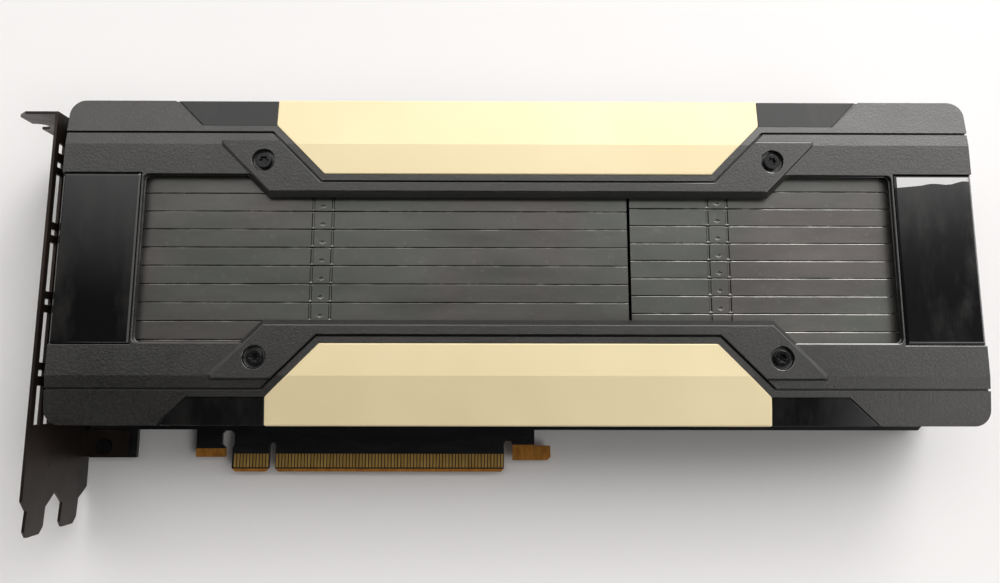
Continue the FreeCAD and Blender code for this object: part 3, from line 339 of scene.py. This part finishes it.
def board_mask():
    """Black solder mask; the edges of the tabs show bare laminate."""
    made = Finish("board_mask", (0.006, 0.006, 0.007), 0.30, specular=0.35)
    weave = made.ramp(made.noise(900, detail=3.0, roughness=0.6, stretch=(1, 0.3, 1)), 0.35, 0.65)
    laminate = made.mix(weave, (0.30, 0.115, 0.012), (0.46, 0.20, 0.030))
    trace = made.ramp(made.noise(240, detail=3.0, roughness=0.7, stretch=(0.25, 1, 1)), 0.48, 0.56)
    mask = made.mix(trace, (0.004, 0.004, 0.005), (0.009, 0.009, 0.010))
    made.color(made.mix(bare_laminate(made), mask, laminate))
    made.bump(trace, strength=0.12, distance=0.04)
    return made.material


def plated_gold():
    """Gold-plated contact fingers with insertion marks."""
    made = Finish("contact_gold", (0.50, 0.32, 0.08), 0.40, metallic=0.5)
    wipe = made.noise(1500, detail=4.0, roughness=0.6, stretch=(1, 0.08, 1))
    made.color(made.mix(made.ramp(wipe, 0.35, 0.7), (0.35, 0.20, 0.04), (0.56, 0.36, 0.10)))
    made.rough_between(wipe, 0.32, 0.50)
    return made.material


def simple(name, color, roughness, metallic=0.0, specular=0.5):
    """A plain finish whose tone and gloss drift a little over the surface."""
    drift_scale = 300
    grain_scale = 2400
    spread = 0.25
    smoothest = roughness * 0.88
    roughest = min(1.0, roughness * 1.15)
    dark = tuple(part * (1 - spread) for part in color)
    light = tuple(min(1.0, part * (1 + spread)) for part in color)
    made = Finish(name, color, roughness, metallic, specular)
    drift = made.ramp(made.noise(drift_scale, detail=4.0, roughness=0.6), 0.35, 0.68)
    made.color(made.mix(drift, dark, light))
    made.rough_between(drift, smoothest, roughest, limits=(0.0, 1.0))
    made.bump(made.noise(grain_scale, detail=2.0), strength=0.12, distance=0.05)
    return made.material


# ---------------------------------------------------------------- the card

FINISHES = {
    "shroud": textured_plastic(),
    "champagne": champagne(),
    "gloss_black": gloss_black("gloss_black", specular=0.5),
    "fin_aluminium": fin_metal(),
    "nickel_steel": black_nickel(),
    "board": board_mask(),
    "gold_contact": plated_gold(),
    "screw_steel": simple("screw_steel", (0.42, 0.42, 0.43), 0.30, metallic=0.9),
    "black_plate": simple("back_paint", (0.030, 0.030, 0.032), 0.45),
    "black_screw": simple("black_screw", (0.006, 0.006, 0.0065), 0.16, specular=0.25),
    "spring_steel": simple("spring_steel", (0.46, 0.46, 0.47), 0.34, metallic=0.9),
    "cast_black": simple("cast_black", (0.035, 0.035, 0.037), 0.48, metallic=0.2),
    "copper_plate": simple("plated_copper", (0.62, 0.50, 0.42), 0.35, metallic=0.9),
    "substrate": simple("package_laminate", (0.045, 0.12, 0.07), 0.45),
    "silicon": simple("silicon", (0.09, 0.09, 0.11), 0.16),
    "coil_grey": simple("coil_ferrite", (0.10, 0.10, 0.10), 0.6),
    "pad_grey": simple("thermal_pad", (0.40, 0.40, 0.46), 0.85),
    "chip_black": simple("chip_moulding", (0.03, 0.03, 0.03), 0.5),
    "can_black": simple("capacitor", (0.05, 0.05, 0.05), 0.5),
    "inlet_black": simple("inlet_moulding", (0.020, 0.020, 0.020), 0.42),
    "pin_brass": simple("pin_metal", (0.66, 0.52, 0.28), 0.3, metallic=0.9),
}

slots = {part["node"]: part["material_slot"] for part in frame["record"]["subparts"]}
panel_low, panel_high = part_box("rear_end_panel")
# Nodes whose finish isn't the one of their slot.
OWN_FINISH = {
    "rear_end_panel": gloss_black("crowned_gloss_black", specular=0.7, crown=(panel_low.x, panel_high.y)),
    "cover_inlays": gloss_black("inlay_gloss_black", specular=0.35),
    "bracket_screws": FINISHES["black_screw"],
}
# Nodes whose rounded edges have a finish of their own.
# The fins' edge finish also paints shade on the groove walls.
FIN_EDGE = rubbed_fin_edge_with_groove_shade()
EDGES = {
    "shroud_cover": polished_edge(),
    "fin_stack_main": FIN_EDGE,
    "fin_stack_rear": FIN_EDGE,
}


def round_edges(name, piece):
    """Round a node's sharp edges, with the finish for its edges where it has one."""
    weld = piece.modifiers.new("weld", "WELD")
    weld.merge_threshold = WELD_GAP
    bevel = piece.modifiers.new("rounded_edges", "BEVEL")
    bevel.width = ROUNDED[name] * MM
    bevel.segments = 2
    bevel.limit_method = "ANGLE"
    bevel.angle_limit = ROUNDED_FROM
    if name in EDGES:
        piece.data.materials.append(EDGES[name])
        bevel.material = 1
    weight = piece.modifiers.new("even_normals", "WEIGHTED_NORMAL")
    weight.keep_sharp = True


for name, piece in nodes.items():
    piece.data.materials.clear()
    piece.data.materials.append(OWN_FINISH.get(name, FINISHES[slots[name]]))
    if name in ROUNDED:
        round_edges(name, piece)


# ---------------------------------------------------------------- floor, light and camera

def backdrop():
    """A wide pale floor, a hair under the card."""
    bpy.ops.mesh.primitive_plane_add(size=6, location=(0, 0, -0.05 * MM))
    floor = bpy.context.object
    floor.name = "floor"
    paint = Finish("floor_paint", (0.80, 0.79, 0.79), 0.7)
    drift = paint.ramp(paint.noise(3, detail=2.0), 0.3, 0.7)
    paint.color(paint.mix(drift, (0.79, 0.78, 0.78), (0.82, 0.81, 0.81)))
    floor.data.materials.append(paint.material)


def lamp(name, place, size, power, tint):
    """A soft rectangular lamp that faces the card."""
    light = bpy.data.lights.new(name, "AREA")
    light.shape = "RECTANGLE"
    light.size, light.size_y = size
    light.energy = power
    light.color = tint
    holder = bpy.data.objects.new(name, light)
    holder.location = place
    towards_card = -Vector(place)
    holder.rotation_euler = towards_card.to_track_quat("-Z", "Y").to_euler()
    bpy.context.scene.collection.objects.link(holder)


def surroundings():
    """A room: bright towards +Y, with three soft bright patches, dim overhead and a white wall low down."""
    world = bpy.data.worlds.new("room")
    bpy.context.scene.world = world
    world.use_nodes = True
    room = Nodes(world.node_tree)
    ray = room.node("ShaderNodeTexCoord").outputs["Generated"]

    def level(direction, low, high, out_low, out_high):
        """Brightness that changes smoothly as a ray points more in one direction."""
        share = room.node("ShaderNodeVectorMath", operation="DOT_PRODUCT")
        share.inputs[1].default_value = direction
        room.link(ray, share.inputs[0])
        return room.ramp(share.outputs["Value"], low, high, out_low, out_high, "SMOOTHSTEP")

    window = level((0, 1, 0), *WINDOW_SPAN, ROOM_DARK, ROOM_BRIGHT)
    side = level((1, 0, 0), *SIDE_SPAN, LEFT_FACTOR, RIGHT_FACTOR)
    glow = room.math("MULTIPLY", window, side)
    for direction, core, rim, brightness in PATCHES:
        rim_share = math.cos(math.radians(rim))
        core_share = math.cos(math.radians(core))
        glow = room.math("ADD", glow, level(direction, rim_share, core_share, 0.0, brightness))
    rays = room.node("ShaderNodeLightPath").outputs
    mirrored = room.math("MAXIMUM", rays["Is Glossy Ray"], rays["Is Transmission Ray"])
    seen = room.math("MAXIMUM", rays["Is Camera Ray"], mirrored)
    wall = room.math("MULTIPLY", seen, level((0, 0, 1), *WALL_SPAN, 1.0, 0.0))
    blend = room.node("ShaderNodeMix")
    blend.inputs["B"].default_value = WALL_BRIGHT
    room.link(wall, blend.inputs["Factor"])
    room.link(glow, blend.inputs["A"])
    sky = room.tree.nodes["Background"]
    sky.inputs["Color"].default_value = (*DAYLIGHT, 1.0)
    room.link(blend.outputs["Result"], sky.inputs["Strength"])


def camera():
    """The photograph's view: from above, tilted a little towards the head of the card."""
    data = bpy.data.cameras.new("camera")
    data.sensor_width = 36
    data.lens = 32.06
    data.shift_y = -0.0657
    data.clip_start = 0.01
    holder = bpy.data.objects.new("camera", data)
    holder.location = (0.99 * MM, -21.97 * MM, 289.87 * MM)
    holder.rotation_euler = (math.radians(10.22), math.radians(-0.30), math.radians(0.09))
    bpy.context.scene.collection.objects.link(holder)
    bpy.context.scene.camera = holder


backdrop()
surroundings()
lamp("window", place=(0.46, 0.77, 0.63), size=(0.44, 0.26), power=3.2, tint=DAYLIGHT)
lamp("side_window", place=(0.90, 0.10, 0.55), size=(0.4, 0.9), power=1.8, tint=(1.0, 0.99, 0.98))
camera()
bpy.context.scene.view_settings.view_transform = "Standard"
